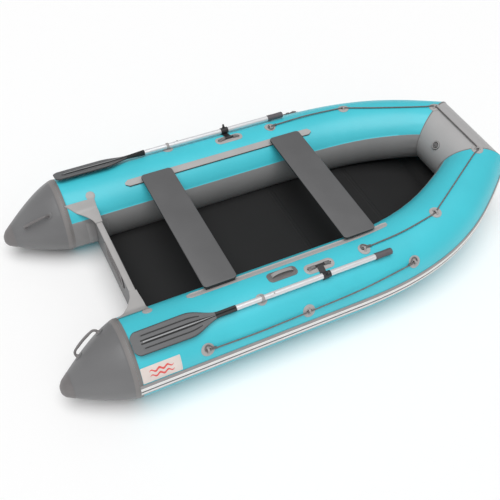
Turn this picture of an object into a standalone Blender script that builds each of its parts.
"""Inflatable transom dinghy with two sliding thwart seats, two stowed oars, carry handles and life-lines.

Metres, +Z up, +X to the bow, +Y to port. Stations along X are measured from the stern tips, and the
datum empty shifts everything so that the origin lies under the middle of the boat.
"""

import math

import bmesh
import bpy
from mathutils import Matrix, Vector
from mathutils.bvhtree import BVHTree

PORT, STARBOARD = 1, -1
SIDES = (("port", PORT), ("starboard", STARBOARD))
GAP = 0.0003

# Hull
TUBE_RADIUS = 0.200
TUBE_SPREAD = 0.517
STERN_SEAM = 0.330
BEND_START = 1.550
BOW_CORNER = Vector((2.614, 0.196, 0.324))
BOW_RADIUS = 0.172
BEND_REACH = 0.460
CORNER_REACH = 0.430
CORNER_HEADING = 38.0
CORNER_CLIMB = 0.070
TUBE_SEGMENTS = 40
BEND_STEPS = 12
STRAKE_THICKNESS = 0.0085
LENGTH = BOW_CORNER.x + BOW_RADIUS + STRAKE_THICKNESS

# Stern cones
TIP_RADIUS = 0.028
TIP_DROP = 0.066
CONE_FULLNESS = 1.35
CONE_STEPS = 9

# Floor and bottom
FLOOR_TOP = 0.110
FLOOR_THICKNESS = 0.012
BOTTOM_THICKNESS = 0.003
PANEL_EDGES = (0.5070, 1.050, 1.545, 2.051, 2.440)
PANEL_GAP = 0.004
APRON = (2.480, 2.560)
APRON_TOP = 0.157
EDGE_CLEARANCE = 0.002
BEND_CLEARANCE = 0.009

# Transom
TRANSOM_TOP = 0.330
TRANSOM_BOTTOM = 0.060
TRANSOM_FACE = 0.460
TRANSOM_THICKNESS = 0.028
TRANSOM_RAKE = 0.060
KNEE_THICKNESS = 0.008
PLATE_WIDTH = 0.270
PLATE_HEIGHT = 0.120
PLATE_THICKNESS = 0.006

# Seats and rails
SEAT_TOP = 0.409
SEAT_THICKNESS = 0.012
SEAT_HALF_LENGTH = 0.430
SEAT_CORNER = 0.022
SEATS = (("rear_seat", 0.777, 0.959, 1.459), ("front_seat", 1.579, 1.773, 1.863))
RAIL_START, RAIL_END = 0.687, 1.876
RAIL_OUTER_ANGLE, RAIL_INNER_ANGLE = 111.0, 123.0
RAIL_THICKNESS = 0.0030
TRACK_HEIGHT = 0.0075
RUNNER_WIDTH = 0.024

# Oars, stowed along the tubes with their blades aft
OAR_ANGLE = 68.5
OAR_HEIGHT = 0.023
SHAFT_RADIUS = 0.0150
BLADE_TIP, BLADE_NECK = 0.345, 0.866
BLADE_HALF_WIDTH = 0.061
BLADE_TAPER = 0.006
SOCKET_SHARE, SWELL_SHARE = 0.16, 0.32
SHAFT_JOINT = 1.050
GRIP_START, GRIP_END = 1.655, 1.757
BUTTON_STATION = 1.070
BUTTON_RADIUS = 0.0035
PIN_STATION = 1.366
COLLAR_HALF_LENGTH = 0.022
COLLAR_RADIUS = 0.0180
PIN_RADIUS = 0.0035
PIN_CLEARANCE = 0.0005
STRAP_STATION = 1.008
STRAP_HALF_WIDTH = 0.007

# Oarlocks
BARREL_TURN = 17.8
BARREL_LIFT = 0.009
BARREL_RADIUS = 0.0065
BARREL_HALF_LENGTH = 0.026
AXLE_RADIUS = 0.0030
ARM_THICKNESS = 0.0035
ARM_HALF_WIDTH = 0.017

# Fabric patches, life-lines and handles
PAD_LIFT = 0.0008
PATCH_RADIUS = 0.034
PATCH_THICKNESS = 0.0020
PATCH_LIFT = 0.0010
EYE_RADIUS = 0.0105
EYE_WIRE = 0.0022
EYE_TALLNESS = 1.30
ROPE_RADIUS = 0.0040
ROPE_LIFT = PATCH_LIFT + PATCH_THICKNESS + ROPE_RADIUS + 0.0009
LINE_SAG = 0.004
OUTER_EYES = ((0.680, 29.0), (1.229, 29.0), (1.870, 37.0))
CREST_EYES = ((1.640, 87.0), (2.137, 84.0))
CORNER_EYE = Vector((2.595, 0.208))
CORNER_EYE_HEADING = 64.0
STERN_HANDLE_SPAN = (0.125, 0.245)
STERN_HANDLE_ANGLE = 128.0
STERN_HANDLE_RADIUS = 0.0050
STERN_HANDLE_HEIGHT = 0.032
CARRY_HANDLE = (1.170, 95.0)

MATERIALS = {
    "turquoise_fabric": ((49, 200, 216), 0.45, 0.0),
    "grey_fabric": ((128, 128, 130), 0.50, 0.0),
    "light_grey_fabric": ((172, 170, 170), 0.50, 0.0),
    "dark_grey_strake": ((98, 98, 100), 0.50, 0.0),
    "black_floor": ((31, 31, 32), 0.60, 0.0),
    "seat_board": ((96, 96, 97), 0.55, 0.0),
    "aluminium": ((214, 214, 216), 0.28, 1.0),
    "dark_plastic": ((52, 52, 54), 0.45, 0.0),
    "blade_plastic": ((96, 97, 99), 0.45, 0.0),
    "grey_plastic": ((160, 158, 158), 0.45, 0.0),
    "rope": ((88, 88, 90), 0.80, 0.0),
}


def clear_scene():
    for obj in list(bpy.data.objects):
        bpy.data.objects.remove(obj, do_unlink=True)


def make_datum():
    """The empty that every piece hangs from: level with the tubes' bottom facets, at the stern tips."""
    datum = bpy.data.objects.new("stern_datum", None)
    facet_rise = TUBE_RADIUS * (1 - math.cos(math.pi / TUBE_SEGMENTS))
    datum.location = (-LENGTH / 2, 0.0, -facet_rise)
    bpy.context.scene.collection.objects.link(datum)
    return datum


def to_linear(channel):
    value = channel / 255.0
    return value / 12.92 if value <= 0.04045 else ((value + 0.055) / 1.055) ** 2.4


def material(name):
    """The named material, made the first time that it is asked for."""
    found = bpy.data.materials.get(name)
    if found:
        return found
    color, roughness, metallic = MATERIALS[name]
    made = bpy.data.materials.new(name)
    made.use_nodes = True
    shader = made.node_tree.nodes["Principled BSDF"]
    shader.inputs["Base Color"].default_value = (*map(to_linear, color), 1.0)
    shader.inputs["Roughness"].default_value = roughness
    shader.inputs["Metallic"].default_value = metallic
    return made


def add_object(name, data, material_name):
    obj = bpy.data.objects.new(name, data)
    obj.data.materials.append(material(material_name))
    obj.parent = DATUM
    bpy.context.scene.collection.objects.link(obj)
    return obj


def add_mesh(name, shape, material_name, smooth=True):
    """A mesh object from a bmesh, with its faces turned outwards."""
    bmesh.ops.recalc_face_normals(shape, faces=shape.faces)
    mesh = bpy.data.meshes.new(name)
    shape.to_mesh(mesh)
    shape.free()
    if smooth:
        mesh.shade_smooth()
        mesh.set_sharp_from_angle(angle=math.radians(35))
    return add_object(name, mesh, material_name)


def loft_shape(rings, ends=None):
    """A closed bmesh through rings of equal point count, capped flat or by a fan to each end point."""
    shape = bmesh.new()
    rows = [[shape.verts.new(point) for point in ring] for ring in rings]
    count = len(rows[0])
    for row, following in zip(rows, rows[1:]):
        for i in range(count):
            j = (i + 1) % count
            shape.faces.new((row[i], row[j], following[j], following[i]))
    if ends is None:
        shape.faces.new(rows[0])
        shape.faces.new(rows[-1])
        return shape
    for row, end in zip((rows[0], rows[-1]), ends):
        tip = shape.verts.new(end)
        for i in range(count):
            shape.faces.new((row[i], row[(i + 1) % count], tip))
    return shape


def loft(name, rings, material_name, ends=None, smooth=True):
    return add_mesh(name, loft_shape(rings, ends), material_name, smooth)


def cylinder_shape(start, end, radius, segments=24, end_radius=None):
    """A closed bmesh cylinder or cone between two points."""
    start, end = Vector(start), Vector(end)
    shape = bmesh.new()
    turn = (end - start).to_track_quat("Z", "Y").to_matrix().to_4x4()
    middle = Matrix.Translation((start + end) / 2)
    bmesh.ops.create_cone(
        shape,
        cap_ends=True,
        segments=segments,
        radius1=radius,
        radius2=radius if end_radius is None else end_radius,
        depth=(end - start).length,
        matrix=middle @ turn,
    )
    return shape


def box_shape(centre, size, frame):
    """A closed bmesh box: size along the three axes of the frame, about the centre."""
    shape = bmesh.new()
    bmesh.ops.create_cube(shape, size=1.0)
    scale = Matrix.Diagonal((*size, 1.0))
    turn = Matrix(frame).transposed().to_4x4()
    bmesh.ops.transform(shape, matrix=Matrix.Translation(centre) @ turn @ scale, verts=shape.verts)
    return shape


def combine(obj, shape, operation):
    """Unites the shape with the object, or cuts it away, through a hidden tool object."""
    tool = add_mesh(obj.name + "_tool", shape, obj.data.materials[0].name)
    tool.hide_render = True
    tool.display_type = "WIRE"
    modifier = obj.modifiers.new(operation.lower(), "BOOLEAN")
    modifier.operation = operation
    modifier.object = tool


# Hull surface


def bezier(t):
    """The bend's centre line: (point, tangent) of a cubic from the straight tube to the bow corner."""
    start = Vector((BEND_START, TUBE_SPREAD, TUBE_RADIUS))
    heading = math.radians(CORNER_HEADING)
    back = Vector((math.cos(heading), -math.sin(heading), 0.0)) * CORNER_REACH
    back.z = CORNER_CLIMB
    controls = (start, start + Vector((BEND_REACH, 0.0, 0.0)), BOW_CORNER - back, BOW_CORNER)
    rest = 1.0 - t
    weights = (rest**3, 3 * rest * rest * t, 3 * rest * t * t, t**3)
    point = sum((w * c for w, c in zip(weights, controls)), Vector())
    slopes = (rest * rest, 2 * rest * t, t * t)
    steps = [b - a for a, b in zip(controls, controls[1:])]
    tangent = sum((w * s for w, s in zip(slopes, steps)), Vector())
    return point, tangent.normalized()


def bend_parameter(station):
    low, high = 0.0, 1.0
    for _ in range(40):
        middle = (low + high) / 2
        if bezier(middle)[0].x < station:
            low = middle
        else:
            high = middle
    return (low + high) / 2


def spine(station):
    """(centre, tangent, outboard, up, radius) of the port tube at a station."""
    if station <= BEND_START:
        t, centre, tangent = 0.0, Vector((station, TUBE_SPREAD, TUBE_RADIUS)), Vector((1.0, 0.0, 0.0))
    else:
        t = bend_parameter(station)
        centre, tangent = bezier(t)
    outboard = Vector((-tangent.y, tangent.x, 0.0)).normalized()
    radius = TUBE_RADIUS + (BOW_RADIUS - TUBE_RADIUS) * t * t
    return centre, tangent, outboard, tangent.cross(outboard), radius


def skin(side, station, angle, lift=0.0):
    """A point on the tube: angle 0 is outboard, 90 the crest and 180 inboard."""
    centre, _, outboard, up, radius = spine(station)
    turn = math.radians(angle)
    point = centre + (outboard * math.cos(turn) + up * math.sin(turn)) * (radius + lift)
    return Vector((point.x, point.y * side, point.z))


def normal(side, station, angle):
    return (skin(side, station, angle, 1.0) - skin(side, station, angle)).normalized()


def mitre(side, angle, lift, clearance):
    """A point of the tube where the mitre plane at the bow corner cuts it."""
    _, tangent, _, _, _ = spine(BOW_CORNER.x)
    plane = (tangent + Vector((0.0, -1.0, 0.0))).normalized()
    point = skin(PORT, BOW_CORNER.x, angle, lift)
    distance = (point - BOW_CORNER).dot(plane) + clearance
    point = point - tangent * (distance / tangent.dot(plane))
    return Vector((point.x, point.y * side, point.z))


def bow_skin(offset, angle, lift=0.0):
    """A point on the bow tube: offset along Y, angle 0 forward, 90 the crest and 180 aft."""
    turn = math.radians(angle)
    reach = BOW_RADIUS + lift
    centre = Vector((BOW_CORNER.x, offset, BOW_CORNER.z))
    return centre + Vector((math.cos(turn) * reach, 0.0, math.sin(turn) * reach))


def bend_stations():
    """Stations of the rings round the bend, short of the mitre."""
    return [bezier(step / BEND_STEPS)[0].x for step in range(BEND_STEPS)]


def ring_angles():
    """Angles of a ring's points, with a flat facet underneath."""
    return [360.0 * (i + 0.5) / TUBE_SEGMENTS for i in range(TUBE_SEGMENTS)]


def cone_axis(station):
    """(centre height, radius) of a stern cone at a station."""
    fraction = station / STERN_SEAM
    radius = TIP_RADIUS + (TUBE_RADIUS - TIP_RADIUS) * (1 - (1 - fraction) ** CONE_FULLNESS)
    return TUBE_RADIUS - TIP_DROP * (1 - fraction) ** CONE_FULLNESS, radius


def cone_skin(side, station, angle, lift=0.0):
    height, radius = cone_axis(station)
    turn = math.radians(angle)
    spread = TUBE_SPREAD + math.cos(turn) * (radius + lift)
    return Vector((station, side * spread, height + math.sin(turn) * (radius + lift)))


def cone_normal(side, station, angle):
    """The unit normal of a stern cone's surface."""
    step, turn = 0.001, 0.5
    along = cone_skin(side, station + step, angle) - cone_skin(side, station - step, angle)
    around = cone_skin(side, station, angle + turn) - cone_skin(side, station, angle - turn)
    return (around.cross(along) * side).normalized()


def make_tubes():
    """The side tubes and the bow tube, and the surface that the corner eyes sit on."""
    rings_of_tubes = []
    for name, side in SIDES:
        stations = [STERN_SEAM + GAP / 2] + bend_stations()
        rings = [[skin(side, x, angle) for angle in ring_angles()] for x in stations]
        rings.append([mitre(side, angle, 0.0, GAP / 2) for angle in ring_angles()])
        rings_of_tubes.append(rings)
        loft(name + "_side_tube", rings, "turquoise_fabric")
    rings = []
    for side in (PORT, STARBOARD):
        ring = [mitre(side, angle, 0.0, -GAP / 2) for angle in ring_angles()]
        rings.append(ring)
    rings_of_tubes.append(rings)
    loft("bow_tube", rings, "grey_fabric")
    return [tube_tree(rings) for rings in rings_of_tubes]


def tube_tree(rings):
    """A search tree of a tube's surface, to drop points onto."""
    shape = loft_shape(rings)
    bmesh.ops.triangulate(shape, faces=shape.faces)
    tree = BVHTree.FromBMesh(shape)
    shape.free()
    return tree


def corner_place(side):
    """A place function over a bow corner: u runs with the life-line and v inboard, across both tubes."""
    heading = math.radians(CORNER_EYE_HEADING)
    along = Vector((math.cos(heading), -math.sin(heading)))
    inboard = Vector((-math.sin(heading), -math.cos(heading)))

    def place(u, v, lift):
        spot = CORNER_EYE + along * u + inboard * v
        above = Vector((spot.x, spot.y * side, 1.0))
        found = [tree.ray_cast(above, Vector((0.0, 0.0, -1.0)))[0] for tree in TUBE_TREES]
        height = max(point.z for point in found if point)
        return Vector((above.x, above.y, height + lift))

    return place


def make_cones():
    for name, side in SIDES:
        rings = []
        for step in range(CONE_STEPS):
            station = (STERN_SEAM - GAP / 2) * (1 - step / CONE_STEPS)
            rings.append([cone_skin(side, station, angle) for angle in ring_angles()])
        for station, share in ((0.0120, 0.92), (0.0035, 0.72)):
            height, radius = cone_axis(station)
            shrink = radius * (share - 1)
            rings.append([cone_skin(side, station, angle, shrink) for angle in ring_angles()])
        front = Vector((STERN_SEAM - GAP / 2, side * TUBE_SPREAD, TUBE_RADIUS))
        tip = Vector((0.0, side * TUBE_SPREAD, TUBE_RADIUS - TIP_DROP))
        loft(name + "_stern_cone", rings, "grey_fabric", ends=(front, tip))


def make_strake():
    """The rub strake, one strip from one stern seam round the bow to the other."""
    profile = (
        (-11.0, 0.0008),
        (-11.0, 0.0035),
        (-7.5, 0.0045),
        (-5.5, STRAKE_THICKNESS),
        (-2.0, STRAKE_THICKNESS),
        (0.0, 0.0050),
        (2.0, STRAKE_THICKNESS),
        (5.5, STRAKE_THICKNESS),
        (8.0, 0.0045),
        (11.5, 0.0035),
        (11.5, 0.0008),
        (5.5, 0.0008),
        (0.0, 0.0008),
        (-5.5, 0.0008),
    )
    stations = [STERN_SEAM + GAP] + bend_stations()
    port = [[skin(PORT, x, angle, lift) for angle, lift in profile] for x in stations]
    port.append([mitre(PORT, angle, lift, 0.0) for angle, lift in profile])
    starboard = [[Vector((p.x, -p.y, p.z)) for p in ring] for ring in reversed(port)]
    loft("rub_strake", port + starboard, "dark_grey_strake")


# Floor, bottom and transom


def slab_shape(outline, low, high):
    """A closed bmesh between two heights, each a number or one value for each outline point."""
    lows = low if isinstance(low, (list, tuple)) else [low] * len(outline)
    highs = high if isinstance(high, (list, tuple)) else [high] * len(outline)
    bottom = [Vector((x, y, z)) for (x, y), z in zip(outline, lows)]
    top = [Vector((x, y, z)) for (x, y), z in zip(outline, highs)]
    return loft_shape([bottom, top])


def rounded_rectangle(half_length, half_width, radius, steps=5):
    """Outline points, anticlockwise about the centre."""
    points = []
    for quarter in range(4):
        turn = quarter * math.pi / 2
        sx = 1 if quarter in (0, 3) else -1
        sy = 1 if quarter in (0, 1) else -1
        for step in range(steps + 1):
            angle = turn + step / steps * math.pi / 2
            x = sx * (half_length - radius) + radius * math.cos(angle)
            y = sy * (half_width - radius) + radius * math.sin(angle)
            points.append((x, y))
    return points


def inner_width(station, height):
    """Half the width between the tubes at a station and a height."""
    low, high = BEND_START, BOW_CORNER.x
    if station <= BEND_START:
        return TUBE_SPREAD - math.sqrt(TUBE_RADIUS**2 - (TUBE_RADIUS - height) ** 2)

    def inner_point(at):
        centre, _, outboard, _, radius = spine(at)
        headroom = 0.022 * (at - BEND_START) / (BOW_CORNER.x - BEND_START)
        half_chord = math.sqrt(max(radius**2 - (centre.z - height - headroom) ** 2, 0.0))
        return centre - outboard * half_chord

    for _ in range(40):
        middle = (low + high) / 2
        if inner_point(middle).x < station:
            low = middle
        else:
            high = middle
    return min(inner_point(low).y, TUBE_SPREAD)


def hull_outline(stations, heights):
    """Plan outline of a sheet that fills the space between the tubes."""
    port = []
    for station, height in zip(stations, heights):
        clearance = BEND_CLEARANCE if station > BEND_START - 0.1 else EDGE_CLEARANCE
        port.append((station, inner_width(station, height) - clearance))
    return port + [(x, -y) for x, y in reversed(port)]


def spaced(start, end, steps):
    return [start + (end - start) * i / steps for i in range(steps + 1)]


def make_floor():
    panels = zip(PANEL_EDGES, PANEL_EDGES[1:])
    for number, (start, end) in enumerate(panels, start=1):
        stations = spaced(start + PANEL_GAP / 2, end - PANEL_GAP / 2, 2 if end <= BEND_START else 8)
        outline = hull_outline(stations, [FLOOR_TOP] * len(stations))
        shape = slab_shape(outline, FLOOR_TOP - FLOOR_THICKNESS, FLOOR_TOP)
        add_mesh("floor_panel_" + str(number), shape, "black_floor", smooth=False)


def make_bottom():
    """The bottom fabric: flat under the floor, then rising to the underside of the bow tube."""
    flat = FLOOR_TOP - FLOOR_THICKNESS - GAP
    stations = spaced(PANEL_EDGES[0], PANEL_EDGES[-1] + 0.002, 14) + spaced(*APRON, 3)
    tops = [flat] * 15 + spaced(flat + 0.02, APRON_TOP, 3)
    rings = []
    for station, top in zip(stations, tops):
        width = inner_width(station, top) - BEND_CLEARANCE
        low = top - BOTTOM_THICKNESS
        corners = ((width, top), (-width, top), (-width, low), (width, low))
        rings.append([Vector((station, y, z)) for y, z in corners])
    loft("bottom_skin", rings, "grey_fabric", smooth=False)


def transom_outline():
    """(y, z) round the transom board, whose ends follow the tubes."""
    steps = 12
    heights = [TRANSOM_TOP + (TRANSOM_BOTTOM - TRANSOM_TOP) * i / steps for i in range(steps + 1)]
    port = [(inner_width(STERN_SEAM, z) - 0.0012, z) for z in heights]
    return port + [(-y, z) for y, z in reversed(port)]


def transom_x(height, depth):
    """Station of a point of the raked transom: depth 0 is its aft face."""
    return TRANSOM_FACE + depth + (TRANSOM_TOP - height) * TRANSOM_RAKE


def make_transom():
    rings = []
    for depth in (0.0, TRANSOM_THICKNESS):
        rings.append([Vector((transom_x(z, depth), y, z)) for y, z in transom_outline()])
    loft("transom_board", rings, "grey_fabric", smooth=False)
    plates = (
        ("outer_motor_plate", -PLATE_THICKNESS - GAP, "grey_plastic"),
        ("inner_motor_plate", TRANSOM_THICKNESS + GAP, "dark_plastic"),
    )
    centre_height = TRANSOM_TOP - PLATE_HEIGHT / 2 - 0.006
    outline = rounded_rectangle(PLATE_WIDTH / 2, PLATE_HEIGHT / 2, 0.03)
    for name, depth, finish in plates:
        rings = []
        for offset in (depth, depth + PLATE_THICKNESS):
            ring = [(y, centre_height + z) for y, z in outline]
            rings.append([Vector((transom_x(z, offset), y, z)) for y, z in ring])
        loft(name, rings, finish, smooth=False)


def make_knees():
    """The wings that brace the transom's top corners against the tubes."""
    tip, aft, forward = 0.337, 0.452, 0.494
    inner, root, shoulder = 0.255, 0.385, 0.400
    clearance = 0.0008

    def over_tube(spread):
        return TUBE_RADIUS + math.sqrt(TUBE_RADIUS**2 - (TUBE_SPREAD - spread) ** 2) + clearance

    on_board = TRANSOM_TOP + 2 * GAP
    corners = (
        (tip, shoulder, over_tube(shoulder)),
        (aft, inner, on_board),
        (forward, inner, on_board),
        (forward + 0.010, root, over_tube(root)),
        (forward - 0.004, shoulder, over_tube(shoulder)),
    )
    for name, side in SIDES:
        outline = [(x, y * side) for x, y, _ in corners]
        lows = [z for _, _, z in corners]
        highs = [z + KNEE_THICKNESS for z in lows]
        add_mesh(name + "_transom_knee", slab_shape(outline, lows, highs), "light_grey_fabric")


# Seats


def rail_top(station, spread):
    """Height of a rail's top face where it passes under a point of the seat."""
    centre, _, _, _, radius = spine(station)
    reach = radius + RAIL_THICKNESS
    return centre.z + math.sqrt(reach**2 - (centre.y - spread) ** 2)


def make_seats():
    for name, aft, forward, farthest in SEATS:
        half_length = (forward - aft) / 2
        centre = (aft + forward) / 2
        outline = rounded_rectangle(half_length, SEAT_HALF_LENGTH, SEAT_CORNER)
        outline = [(centre + x, y) for x, y in outline]
        seat = add_mesh(name, slab_shape(outline, SEAT_TOP - SEAT_THICKNESS, SEAT_TOP), "seat_board")
        for side in (PORT, STARBOARD):
            add_runner(seat, side, centre, half_length, farthest)


def add_runner(seat, side, centre, half_length, farthest):
    """A runner under a seat's end, which slides along the rail."""
    outer = SEAT_HALF_LENGTH - 0.004
    inner = outer - RUNNER_WIDTH
    clearance = 0.0008
    top = SEAT_TOP - SEAT_THICKNESS / 2
    section = (
        (outer, top),
        (outer, rail_top(farthest, outer) + clearance),
        (inner, rail_top(farthest, outer) + clearance),
        (inner, top),
    )
    half = half_length - 0.012
    rings = [[Vector((x, y * side, z)) for y, z in section] for x in (centre - half, centre + half)]
    combine(seat, loft_shape(rings), "UNION")


def make_rails():
    inner, outer = RAIL_INNER_ANGLE, RAIL_OUTER_ANGLE
    profile = (
        (outer, 0.0005),
        (outer, RAIL_THICKNESS),
        (inner - 2.6, RAIL_THICKNESS),
        (inner - 2.2, TRACK_HEIGHT - 0.001),
        (inner - 1.2, TRACK_HEIGHT),
        (inner - 0.2, TRACK_HEIGHT - 0.001),
        (inner, 0.0005),
        ((inner + outer) / 2 + 2, 0.0005),
        ((inner + outer) / 2 - 2, 0.0005),
    )
    middle = (RAIL_START + RAIL_END) / 2
    stations = [RAIL_START, RAIL_START + 0.012, middle, BEND_START]
    stations += [x for x in bend_stations()[1:] if x < RAIL_END - 0.03]
    stations += [RAIL_END - 0.012, RAIL_END]
    for name, side in SIDES:
        rings = []
        for x in stations:
            trim = 2.5 if x in (RAIL_START, RAIL_END) else 0.0
            ring = []
            for angle, lift in profile:
                share = (angle - outer) / (inner - outer)
                ring.append(skin(side, x, angle + trim * (1 - 2 * share), lift))
            rings.append(ring)
        loft(name + "_seat_rail", rings, "light_grey_fabric")


# Oars


def oar_point(side, station, across=0.0, height=0.0):
    """A point of a stowed oar: across is inboard along the tube's tangent, height is off the shaft's axis."""
    turn = math.radians(OAR_ANGLE)
    out = Vector((0.0, math.cos(turn), math.sin(turn)))
    inboard = Vector((0.0, -math.sin(turn), math.cos(turn)))
    centre = Vector((station, TUBE_SPREAD, TUBE_RADIUS)) + out * (TUBE_RADIUS + OAR_HEIGHT + height)
    point = centre + inboard * across
    return Vector((point.x, point.y * side, point.z))


def oar_frame(side):
    """Unit vectors of a stowed oar: along it, inboard and off the tube."""
    origin = oar_point(side, 0.0)
    across = oar_point(side, 0.0, across=1.0) - origin
    return Vector((1.0, 0.0, 0.0)), across, oar_point(side, 0.0, height=1.0) - origin


def blade_half_width(share):
    """Half the blade's width, from its neck at 0 to its tip at 1."""
    swell = 0.5 - 0.5 * math.cos(math.pi * min(max(share - SOCKET_SHARE, 0.0) / SWELL_SHARE, 1.0))
    return SHAFT_RADIUS + (BLADE_HALF_WIDTH - SHAFT_RADIUS) * swell - BLADE_TAPER * max(share - 0.5, 0.0)


def make_blade(name, side):
    """A blade with a raised spine, rounded at its tip."""
    shares = [i / 16 for i in range(16)] + [0.95, 0.97, 0.985, 1.0]
    rings = []
    for share in shares:
        station = BLADE_NECK + (BLADE_TIP - BLADE_NECK) * share
        width = blade_half_width(share)
        if share > 0.94:
            width *= math.sqrt(max(1.0 - ((share - 0.94) / 0.0605) ** 2 * 0.72, 0.0))
        web = 0.0035 + (SHAFT_RADIUS * 0.7 - 0.0035) * max(1.0 - share / 0.26, 0.0)
        ridge = 0.0055 + (SHAFT_RADIUS - 0.0055) * max(1.0 - share / 0.35, 0.0)
        half = (
            (1.0, 0.35 * web),
            (0.86, web),
            (0.28, web),
            (0.14, ridge * 0.85),
            (0.0, ridge),
        )
        upper = [(width * w, h) for w, h in half] + [(-width * w, h) for w, h in reversed(half[:-1])]
        ring = upper + [(w, -h) for w, h in reversed(upper)]
        rings.append([oar_point(side, station, w, h) for w, h in ring])
    loft(name + "_oar_blade", rings, "blade_plastic")


def oar_cylinder(side, start, end, radius, segments=24):
    """A cylinder on the stowed oar's axis, between two stations."""
    return cylinder_shape(oar_point(side, start), oar_point(side, end), radius, segments)


def oar_drill(side, station, low, high, radius):
    """A cylinder square to the stowed oar, between two heights off its axis."""
    ends = [oar_point(side, station, height=height) for height in (low, high)]
    return cylinder_shape(*ends, radius, 16)


def make_shafts(name, side):
    """The oar's two shafts, the spring button that locks them, and the collar for the oarlock's pin."""
    lower = oar_cylinder(side, BLADE_NECK + GAP, SHAFT_JOINT - GAP, SHAFT_RADIUS - 0.001)
    add_mesh(name + "_oar_lower_shaft", lower, "aluminium")
    upper = oar_cylinder(side, SHAFT_JOINT, GRIP_START - GAP, SHAFT_RADIUS)
    shaft = add_mesh(name + "_oar_upper_shaft", upper, "aluminium")
    well = (SHAFT_RADIUS - 0.010, SHAFT_RADIUS + 0.010)
    combine(shaft, oar_drill(side, BUTTON_STATION, *well, BUTTON_RADIUS + GAP), "DIFFERENCE")
    bore = (-2 * COLLAR_RADIUS, 2 * COLLAR_RADIUS)
    combine(shaft, oar_drill(side, PIN_STATION, *bore, PIN_RADIUS + PIN_CLEARANCE), "DIFFERENCE")
    button = oar_drill(side, BUTTON_STATION, SHAFT_RADIUS - 0.006, SHAFT_RADIUS + 0.003, BUTTON_RADIUS)
    add_mesh(name + "_oar_button", button, "grey_plastic")
    ends = (PIN_STATION - COLLAR_HALF_LENGTH, PIN_STATION + COLLAR_HALF_LENGTH)
    collar = add_mesh(name + "_oar_collar", oar_cylinder(side, *ends, COLLAR_RADIUS), "dark_plastic")
    past_ends = (PIN_STATION - 2 * COLLAR_HALF_LENGTH, PIN_STATION + 2 * COLLAR_HALF_LENGTH)
    combine(collar, oar_cylinder(side, *past_ends, SHAFT_RADIUS + GAP), "DIFFERENCE")
    combine(collar, oar_drill(side, PIN_STATION, *bore, PIN_RADIUS + PIN_CLEARANCE), "DIFFERENCE")


def make_grip(name, side):
    profile = (
        (0.00, 0.0165),
        (0.04, 0.0178),
        (0.30, 0.0168),
        (0.65, 0.0172),
        (0.90, 0.0182),
        (0.98, 0.0172),
        (1.00, 0.0150),
    )
    rings = []
    for share, radius in profile:
        station = GRIP_START + (GRIP_END - GRIP_START) * share
        turns = [2 * math.pi * i / 20 for i in range(20)]
        rings.append([oar_point(side, station, radius * math.cos(a), radius * math.sin(a)) for a in turns])
    loft(name + "_oar_grip", rings, "dark_plastic")


# Oarlocks


def barrel_point(side, station):
    """A point on the axis that an oarlock's arm tilts about."""
    turn = math.radians(OAR_ANGLE + BARREL_TURN)
    reach = TUBE_RADIUS + BARREL_LIFT
    spread = TUBE_SPREAD + reach * math.cos(turn)
    return Vector((station, side * spread, TUBE_RADIUS + reach * math.sin(turn)))


def surface_pad(name, place, outline, low, high, material_name):
    """A thin pad whose faces follow a surface: place turns (u, v, lift) into a point."""

    def ring(share, lift):
        return [place(u * share, v * share, lift) for u, v in outline]

    rings = [ring(0.5, low), ring(1.0, low), ring(1.0, high), ring(0.5, high)]
    ends = (place(0.0, 0.0, low), place(0.0, 0.0, high))
    return loft(name, rings, material_name, ends=ends)


def tube_place(side, station, angle):
    """A place function on a side tube: u runs to the bow and v up and over, inboard."""
    _, tangent, _, _, radius = spine(station)

    def place(u, v, lift):
        return skin(side, station + u * tangent.x, angle + math.degrees(v / radius), lift)

    return place


def make_oarlock(name, side):
    pad_angle = OAR_ANGLE + BARREL_TURN
    place = tube_place(side, PIN_STATION, pad_angle)
    outline = rounded_rectangle(0.085, 0.030, 0.028)
    base = surface_pad(name + "_oarlock_base", place, outline, PAD_LIFT, 0.0024, "light_grey_fabric")
    for sign in (-1, 1):
        near = PIN_STATION + sign * (BARREL_HALF_LENGTH + 2 * GAP)
        far = near + sign * 0.022
        post = cylinder_shape(barrel_point(side, near), barrel_point(side, far), BARREL_RADIUS, 20)
        combine(base, post, "UNION")
        middle = place((near + far) / 2 - PIN_STATION, 0.0, BARREL_LIFT / 2 + 0.0004)
        over, off = (normal(side, PIN_STATION, pad_angle + turn) for turn in (90, 0))
        frame = (Vector((1.0, 0.0, 0.0)), over, off)
        combine(base, box_shape(middle, (0.020, 0.012, BARREL_LIFT - 0.0012), frame), "UNION")
    reach = BARREL_HALF_LENGTH + 0.006
    axle_ends = [barrel_point(side, PIN_STATION + sign * reach) for sign in (-1, 1)]
    combine(base, cylinder_shape(*axle_ends, AXLE_RADIUS, 16), "UNION")
    make_arm(name, side)
    make_pin(name, side)


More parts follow.
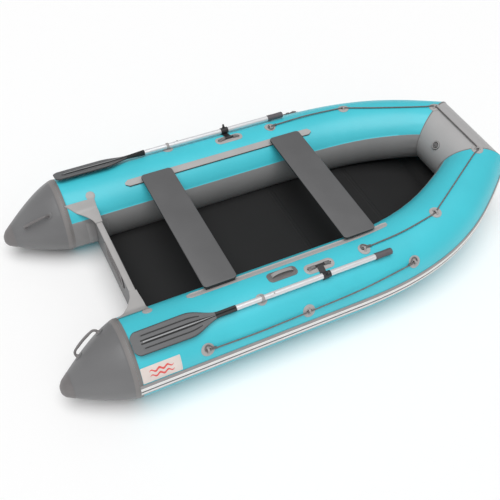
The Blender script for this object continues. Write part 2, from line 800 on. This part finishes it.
def make_arm(name, side):
    """The arm that tilts on the barrel's axle and carries the oar's pin."""
    frame = oar_frame(side)
    sleeve_ends = [barrel_point(side, PIN_STATION + sign * BARREL_HALF_LENGTH) for sign in (-1, 1)]
    arm = add_mesh(name + "_oarlock_arm", cylinder_shape(*sleeve_ends, BARREL_RADIUS, 20), "dark_plastic")
    reach = (TUBE_RADIUS + BARREL_LIFT) * math.sin(math.radians(BARREL_TURN))
    outer = -ARM_HALF_WIDTH
    depth = 0.0008 + ARM_THICKNESS / 2 - OAR_HEIGHT
    centre = oar_point(side, PIN_STATION, (reach + outer) / 2, depth)
    size = (2 * ARM_HALF_WIDTH, reach - outer, ARM_THICKNESS)
    combine(arm, box_shape(centre, size, frame), "UNION")
    bore_ends = [barrel_point(side, PIN_STATION + sign * 2 * BARREL_HALF_LENGTH) for sign in (-1, 1)]
    combine(arm, cylinder_shape(*bore_ends, AXLE_RADIUS + 2 * GAP, 16), "DIFFERENCE")
    low = oar_point(side, PIN_STATION, height=-2 * OAR_HEIGHT)
    high = oar_point(side, PIN_STATION, height=0.0)
    combine(arm, cylinder_shape(low, high, PIN_RADIUS + GAP, 16), "DIFFERENCE")


def make_pin(name, side):
    """The upright pin through arm, collar and shaft, with a flange and a knob on top."""

    def level(height):
        return oar_point(side, PIN_STATION, height=height)

    shoulder = COLLAR_RADIUS + 0.0005
    knob = COLLAR_RADIUS + 0.0120
    stem = cylinder_shape(level(0.0012 - OAR_HEIGHT), level(knob + 0.003), PIN_RADIUS, 16)
    pin = add_mesh(name + "_oarlock_pin", stem, "dark_plastic")
    combine(pin, cylinder_shape(level(shoulder), level(shoulder + 0.006), 0.0085, 20), "UNION")
    combine(pin, cylinder_shape(level(knob), level(knob + 0.008), 0.0070, 20, end_radius=0.0045), "UNION")


def make_strap(name, side):
    """The rubber strap that holds a stowed shaft down on its patch."""
    frame = oar_frame(side)
    place = tube_place(side, STRAP_STATION, OAR_ANGLE)
    strap = surface_pad(name + "_oar_strap", place, circle(0.030, 20), PAD_LIFT, 0.0024, "light_grey_fabric")
    centre = oar_point(side, STRAP_STATION, height=-OAR_HEIGHT + 0.006)
    combine(strap, box_shape(centre, (2 * STRAP_HALF_WIDTH, 0.020, 0.011), frame), "UNION")
    band = [oar_point(side, STRAP_STATION + sign * STRAP_HALF_WIDTH) for sign in (-1, 1)]
    combine(strap, cylinder_shape(*band, SHAFT_RADIUS + 0.0032), "UNION")
    bore = [oar_point(side, STRAP_STATION + sign * 3 * STRAP_HALF_WIDTH) for sign in (-1, 1)]
    combine(strap, cylinder_shape(*bore, SHAFT_RADIUS - 0.001 + GAP), "DIFFERENCE")


# Patches, life-lines, handles and valve


def circle(radius, count):
    turns = [2 * math.pi * i / count for i in range(count)]
    return [(radius * math.cos(turn), radius * math.sin(turn)) for turn in turns]


def arch_shape(place, spread, wire, root, steps=8, sides=6):
    """A half ring standing on a surface, across the u direction."""
    rings = []
    for step in range(steps + 1):
        turn = math.pi * step / steps
        ring = []
        for i in range(sides):
            around = 2 * math.pi * i / sides
            reach = spread + wire * math.cos(around)
            v = reach * math.cos(turn)
            ring.append(place(wire * math.sin(around), v, root + EYE_TALLNESS * reach * math.sin(turn)))
        rings.append(ring)
    return loft_shape(rings)


def make_eye(name, place):
    """A round patch with a moulded eye for the life-line."""
    top = PATCH_LIFT + PATCH_THICKNESS
    patch = surface_pad(name, place, circle(PATCH_RADIUS, 16), PATCH_LIFT, top, "light_grey_fabric")
    combine(patch, arch_shape(place, EYE_RADIUS, EYE_WIRE, top - 0.0012), "UNION")


def smooth_path(points, step):
    """Points every step along a Catmull-Rom curve through the given points."""
    ends = [points[0] * 2 - points[1]] + list(points) + [points[-1] * 2 - points[-2]]
    dense = [points[0]]
    for a, b, c, d in zip(ends, ends[1:], ends[2:], ends[3:]):
        for i in range(1, 25):
            t = i / 24
            along = (c - a) * t + (2 * a - 5 * b + 4 * c - d) * t * t + (3 * b - a - 3 * c + d) * t**3
            dense.append(b + along / 2)
    total = sum((q - p).length for p, q in zip(dense, dense[1:]))
    count = max(round(total / step), 2)
    spaced, travelled, target = [dense[0]], 0.0, total / count
    for p, q in zip(dense, dense[1:]):
        length = (q - p).length
        while travelled + length >= target and len(spaced) < count:
            spaced.append(p.lerp(q, (target - travelled) / length))
            target += total / count
        travelled += length
    return spaced + [dense[-1]]


def make_cord(name, points, radius, step, material_name="rope", sides=2):
    """A round cord as a bevelled curve through the points."""
    data = bpy.data.curves.new(name, "CURVE")
    data.dimensions = "3D"
    data.bevel_depth = radius
    data.bevel_resolution = sides
    data.use_fill_caps = True
    spline = data.splines.new("POLY")
    path = smooth_path(points, step)
    spline.points.add(len(path) - 1)
    for point, target in zip(spline.points, path):
        point.co = (*target, 1.0)
    return add_object(name, data, material_name)


def outer_line_points(side):
    """Route of an outer life-line, through its three eyes."""
    (first, low), (middle, _), (last, high) = OUTER_EYES
    tail, lead = 0.014, 0.05
    route = [(first - tail, low, ROPE_LIFT)]
    route += [(first, low, ROPE_LIFT), (first + lead, low - 0.6, ROPE_LIFT)]
    route += [((first + middle) / 2, low - 2.0, ROPE_LIFT - 0.001), (middle - lead, low - 0.6, ROPE_LIFT)]
    route += [(middle, low, ROPE_LIFT), (middle + lead, low, ROPE_LIFT)]
    route += [((middle + last) / 2, (low + high) / 2 - 0.5, ROPE_LIFT + 0.004)]
    route += [(last - lead, high - 0.6, ROPE_LIFT), (last, high, ROPE_LIFT), (last + tail, high, ROPE_LIFT)]
    return [skin(side, *stop) for stop in route]


def bow_line_points():
    """Route of the bow life-line: along both crests, straight to the corner eyes and across the bow tube."""
    (first, low), (middle, rise) = CREST_EYES
    tail, lead = 0.014, 0.05
    stops = [(first - tail, low, ROPE_LIFT), (first, low, ROPE_LIFT), (first + lead, low, ROPE_LIFT)]
    stops += [((first + middle) / 2, (low + rise) / 2, ROPE_LIFT + 0.003), (middle - lead, rise, ROPE_LIFT)]
    stops += [(middle, rise, ROPE_LIFT)]
    runs = []
    for side in (PORT, STARBOARD):
        run = [skin(side, *stop) for stop in stops]
        place = corner_place(side)
        corner = place(0.0, 0.0, ROPE_LIFT)
        sag = Vector((0.0, 0.0, LINE_SAG))
        last = run[-1]
        for share in (0.1, 0.3, 0.5, 0.7, 0.9):
            run.append(last.lerp(corner, share) - sag * 4 * share * (1 - share))
        runs.append(run + [corner])
    port, starboard = runs
    across = [bow_skin(offset, 95.0, ROPE_LIFT + 0.002) for offset in (0.13, 0.0, -0.13)]
    return port + across + starboard[::-1]


def make_life_lines():
    for name, side in SIDES:
        for number, (station, angle) in enumerate(OUTER_EYES, start=1):
            make_eye(name + "_outer_eye_" + str(number), tube_place(side, station, angle))
        for number, (station, angle) in enumerate(CREST_EYES, start=1):
            make_eye(name + "_bow_eye_" + str(number), tube_place(side, station, angle))
        make_eye(name + "_bow_eye_3", corner_place(side))
        make_cord(name + "_outer_line", outer_line_points(side), ROPE_RADIUS, 0.026)
    make_cord("bow_line", bow_line_points(), ROPE_RADIUS, 0.032)


def make_stern_handles():
    """An arched handle on the inner shoulder of each stern cone."""
    aft, forward = STERN_HANDLE_SPAN
    middle, height = (aft + forward) / 2, STERN_HANDLE_HEIGHT
    bend, foot = 0.020, 0.0015
    route = (
        (aft, foot),
        (aft, height * 0.55),
        (aft + bend * 0.35, height * 0.88),
        (aft + bend, height),
        (middle, height + 0.002),
        (forward - bend, height),
        (forward - bend * 0.35, height * 0.88),
        (forward, height * 0.55),
        (forward, foot),
    )
    flares = ((0, 2.2), (1, 1.25), (-2, 1.25), (-1, 2.2))
    for name, side in SIDES:
        out = cone_normal(side, middle, STERN_HANDLE_ANGLE)
        points = [cone_skin(side, x, STERN_HANDLE_ANGLE) + out * lift for x, lift in route]
        handle = make_cord(name + "_stern_handle", points, STERN_HANDLE_RADIUS, 0.009, "grey_fabric")
        feet = handle.data.splines[0].points
        for index, flare in flares:
            feet[index].radius = flare


def make_carry_handle():
    """A webbing handle over a rounded base pad, on the starboard tube."""
    station, angle = CARRY_HANDLE
    place = tube_place(STARBOARD, station, angle)
    base = surface_pad(
        "carry_handle", place, rounded_rectangle(0.082, 0.032, 0.022), PAD_LIFT, 0.0028, "light_grey_fabric"
    )
    half_span, half_width, rise, thickness = 0.062, 0.012, 0.020, 0.0030
    steps = 12
    rings = []
    for step in range(steps + 1):
        turn = math.pi * step / steps
        u, crest = half_span * math.cos(turn), math.sin(turn) ** 0.7
        low = 0.0012 + rise * crest
        high = low + thickness
        section = ((-half_width, low), (half_width, low), (half_width, high), (-half_width, high))
        rings.append([place(u, v, lift) for v, lift in section])
    combine(base, loft_shape(rings), "UNION")


def make_valve():
    """The bow tube's air valve, with a cap that turns in its recess."""
    offset, angle = -0.016, 149.0
    axis = (bow_skin(offset, angle, 1.0) - bow_skin(offset, angle)).normalized()
    foot = bow_skin(offset, angle, 0.0022)
    ring = cylinder_shape(foot, foot + axis * 0.0060, 0.0255, 32, 0.0230)
    body = add_mesh("valve_body", ring, "grey_plastic")
    recess = foot + axis * 0.0020
    combine(body, cylinder_shape(recess, recess + axis * 0.02, 0.0160, 28), "DIFFERENCE")
    seat = recess + axis * GAP
    cap = add_mesh("valve_cap", cylinder_shape(seat, seat + axis * 0.0050, 0.0150, 28), "dark_plastic")
    frame = (axis.cross(Vector((0.0, 1.0, 0.0))), Vector((0.0, 1.0, 0.0)), axis)
    combine(cap, box_shape(seat + axis * 0.0060, (0.005, 0.022, 0.004), frame), "UNION")


clear_scene()
DATUM = make_datum()
TUBE_TREES = make_tubes()
make_cones()
make_strake()
make_floor()
make_bottom()
make_transom()
make_knees()
make_seats()
make_rails()
for side_name, side_sign in SIDES:
    make_blade(side_name, side_sign)
    make_shafts(side_name, side_sign)
    make_grip(side_name, side_sign)
    make_oarlock(side_name, side_sign)
    make_strap(side_name, side_sign)
make_life_lines()
make_stern_handles()
make_carry_handle()
make_valve()
